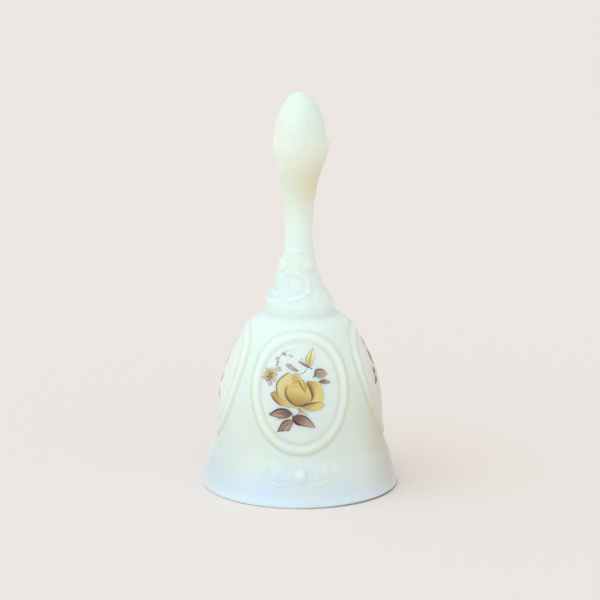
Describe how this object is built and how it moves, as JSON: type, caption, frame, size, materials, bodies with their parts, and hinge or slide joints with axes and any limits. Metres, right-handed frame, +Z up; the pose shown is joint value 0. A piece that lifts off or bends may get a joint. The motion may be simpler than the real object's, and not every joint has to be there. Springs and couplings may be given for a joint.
{
  "type": "hand bell",
  "caption": "Pressed opal glass hand bell with a solid baluster handle, oval painted medallions, and a glass bead clapper on a wire chain.",
  "frame": {"origin": "middle of the mouth, on the plane of the rim that the bell stands on", "axes": "+Z up along the handle; -Y faces the first medallion; the four medallions face -Y, +X, +Y and -X"},
  "size_m": [0.0852, 0.0852, 0.172],
  "materials": {
    "satin_opal_glass": "acid-etched satin over opalescent cream to pale mint glass, with fired enamel flowers in ochre and plum brown",
    "cement": "matt, cast in place",
    "brass_wire": "drawn bright, slightly dulled",
    "bead_glass": "polished"
  },
  "bodies": {
    "bell": {"glass_bell": "satin_opal_glass", "anchor_cement": "cement", "anchor_staple": "brass_wire"},
    "link_1": {"chain_link_1": "brass_wire"},
    "link_2": {"chain_link_2": "brass_wire"},
    "link_3": {"chain_link_3": "brass_wire"},
    "link_4": {"chain_link_4": "brass_wire"},
    "link_5": {"chain_link_5": "brass_wire"},
    "link_6": {"chain_link_6": "brass_wire"},
    "link_7": {"chain_link_7": "brass_wire"},
    "pin": {"clapper_pin": "brass_wire"},
    "bead": {"clapper_bead": "bead_glass"}
  },
  "joints": [
    {"name": "link_1_swing", "type": "hinge", "parent": "bell", "child": "link_1", "pos_m": [0, 0, 0.062], "axis": [1, 0, 0], "range_deg": [-33, 33]},
    {"name": "link_2_swing", "type": "hinge", "parent": "link_1", "child": "link_2", "pos_m": [0, 0, 0.057], "axis": [0, 1, 0], "range_deg": [-37, 37]},
    {"name": "link_3_swing", "type": "hinge", "parent": "link_2", "child": "link_3", "pos_m": [0, 0, 0.0519], "axis": [-1, 0, 0], "range_deg": [-43, 43]},
    {"name": "link_4_swing", "type": "hinge", "parent": "link_3", "child": "link_4", "pos_m": [0, 0, 0.0468], "axis": [0, -1, 0], "range_deg": [-50, 50]},
    {"name": "link_5_swing", "type": "hinge", "parent": "link_4", "child": "link_5", "pos_m": [0, 0, 0.0417], "axis": [1, 0, 0], "range_deg": [-60, 60]},
    {"name": "link_6_swing", "type": "hinge", "parent": "link_5", "child": "link_6", "pos_m": [0, 0, 0.0366], "axis": [0, 1, 0], "range_deg": [-60, 60]},
    {"name": "link_7_swing", "type": "hinge", "parent": "link_6", "child": "link_7", "pos_m": [0, 0, 0.0315], "axis": [-1, 0, 0], "range_deg": [-60, 60]},
    {"name": "pin_swing", "type": "hinge", "parent": "link_7", "child": "pin", "pos_m": [0, 0, 0.0264], "axis": [0, -1, 0], "range_deg": [-60, 60]},
    {"name": "bead_spin", "type": "hinge", "parent": "pin", "child": "bead", "pos_m": [0, 0, 0.01505], "axis": [0, 0, 1], "continuous": true}
  ]
}
